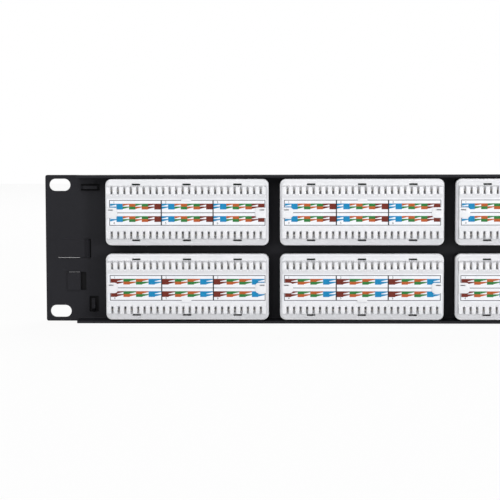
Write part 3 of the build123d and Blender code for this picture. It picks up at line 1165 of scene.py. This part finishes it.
@dataclass
class Studio:
    """A white floor and backdrop, soft lamps and a camera at the photograph's place."""

    image_pixels: float = 500.0
    focal_pixels: float = 1529.7
    camera_place: Point = (90.35, 916.5, 64.1)
    pitch: float = 0.0711
    yaw: float = -0.0304
    roll: float = -0.0023
    sensor: float = 36.0
    nearest: float = 0.01
    world_level: float = 0.53
    floor_white: Colour = (0.9, 0.9, 0.9)
    floor_size: float = 8
    floor_keep: float = 0.08
    wall_place: Point = (0, -3, 2)

    def camera(self) -> None:
        """Places the camera and makes it the scene's."""
        data = bpy.data.cameras.new("rear_view")
        data.sensor_width = self.sensor
        data.lens = self.focal_pixels / self.image_pixels * self.sensor
        data.clip_start = self.nearest
        eye = add_object("rear_view", data)
        facing_front = Matrix(((-1, 0, 0), (0, 0, -1), (0, -1, 0)))
        cos, sin = math.cos, math.sin
        yaw = Matrix(((cos(self.yaw), 0, -sin(self.yaw)), (0, 1, 0), (sin(self.yaw), 0, cos(self.yaw))))
        pitch = Matrix((
            (1, 0, 0), (0, cos(self.pitch), -sin(self.pitch)), (0, sin(self.pitch), cos(self.pitch)),
        ))
        roll = Matrix(((cos(self.roll), -sin(self.roll), 0), (sin(self.roll), cos(self.roll), 0), (0, 0, 1)))
        right, down, forward = roll @ pitch @ yaw @ facing_front
        turn = Matrix((right, -down, -forward)).transposed().to_4x4()
        eye.matrix_world = Matrix.Translation(Vector(self.camera_place) * MM) @ turn
        bpy.context.scene.camera = eye

    def plain(self, name: str, keep: float) -> bpy.types.Material:
        """Builds the white of the floor or the backdrop.

        Args:
            name: The material's name.
            keep: The share of real light and shadow that the camera sees; the rest is plain white.

        Returns:
            The material.
        """
        material = bpy.data.materials.new(name)
        material.use_nodes = True
        material.node_tree.nodes.clear()
        wires = Wires(material.node_tree)
        matt = wires.add("ShaderNodeBsdfDiffuse")
        matt.inputs["Color"].default_value = (*self.floor_white, 1)
        glow = wires.add("ShaderNodeEmission")
        glow.inputs["Strength"].default_value = 1.0
        path = wires.add("ShaderNodeLightPath")
        seen = self.seen(wires, path)
        share = wires.add("ShaderNodeMath", operation="MULTIPLY")
        share.inputs[1].default_value = 1 - keep
        wires.join(seen, share.inputs[0])
        mix = wires.add("ShaderNodeMixShader")
        wires.join(share.outputs["Value"], mix.inputs["Fac"])
        wires.join(matt.outputs["BSDF"], mix.inputs[1])
        wires.join(glow.outputs["Emission"], mix.inputs[2])
        output = wires.add("ShaderNodeOutputMaterial")
        wires.join(mix.outputs["Shader"], output.inputs["Surface"])
        return material

    def seen(self, wires: Wires, path: bpy.types.Node) -> bpy.types.NodeSocket:
        """Joins the camera, glossy and transmission rays.

        Args:
            wires: The tree's wires.
            path: The Light Path node.

        Returns:
            A value of 1 for those rays and 0 for others.
        """
        first = wires.add("ShaderNodeMath", operation="MAXIMUM")
        wires.join(path.outputs["Is Camera Ray"], first.inputs[0])
        wires.join(path.outputs["Is Glossy Ray"], first.inputs[1])
        second = wires.add("ShaderNodeMath", operation="MAXIMUM")
        wires.join(first.outputs["Value"], second.inputs[0])
        wires.join(path.outputs["Is Transmission Ray"], second.inputs[1])
        return second.outputs["Value"]

    def backdrop(self) -> None:
        """Adds the floor under the panel and the wall behind it."""
        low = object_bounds()[0]
        size = Matrix.Scale(self.floor_size, 4)
        upright = Matrix.Rotation(math.pi / 2, 4, "X")
        for name, matrix, keep in (
            ("studio_floor", Matrix.Translation((0, 0, low.z)) @ size, self.floor_keep),
            ("studio_wall", Matrix.Translation(self.wall_place) @ upright @ size, 0.0),
        ):
            bm = bmesh.new()
            bmesh.ops.create_grid(bm, x_segments=1, y_segments=1, size=0.5, matrix=matrix)
            mesh = bpy.data.meshes.new(name)
            bm.to_mesh(mesh)
            bm.free()
            mesh.materials.append(self.plain(name, keep))
            piece = add_object(name, mesh)
            piece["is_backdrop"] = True

    def world(self) -> None:
        """Fills the room with even light."""
        world = bpy.data.worlds.new("studio")
        bpy.context.scene.world = world
        world.use_nodes = True
        world.node_tree.nodes.clear()
        wires = Wires(world.node_tree)
        glow = wires.add("ShaderNodeBackground")
        glow.inputs["Color"].default_value = (1, 1, 1, 1)
        glow.inputs["Strength"].default_value = self.world_level
        output = wires.add("ShaderNodeOutputWorld")
        wires.join(glow.outputs["Background"], output.inputs["Surface"])

    def build(self) -> None:
        """Sets up the whole studio."""
        self.world()
        self.backdrop()
        for lamp in LAMPS:
            lamp.build()
        self.camera()
        bpy.context.scene.view_settings.view_transform = "Standard"
        LOG.info("studio ready")


def main() -> None:
    """Builds the pieces in order and reports each."""
    logging.basicConfig(level=logging.INFO, format="%(name)s: %(message)s")
    palette = build_palette()
    dress_frame(palette)
    PunchdownHousing(palette).build()
    LabelPrint(palette).build()
    FrontPrint(palette).build()
    Studio().build()


if __name__ == "__main__":
    main()
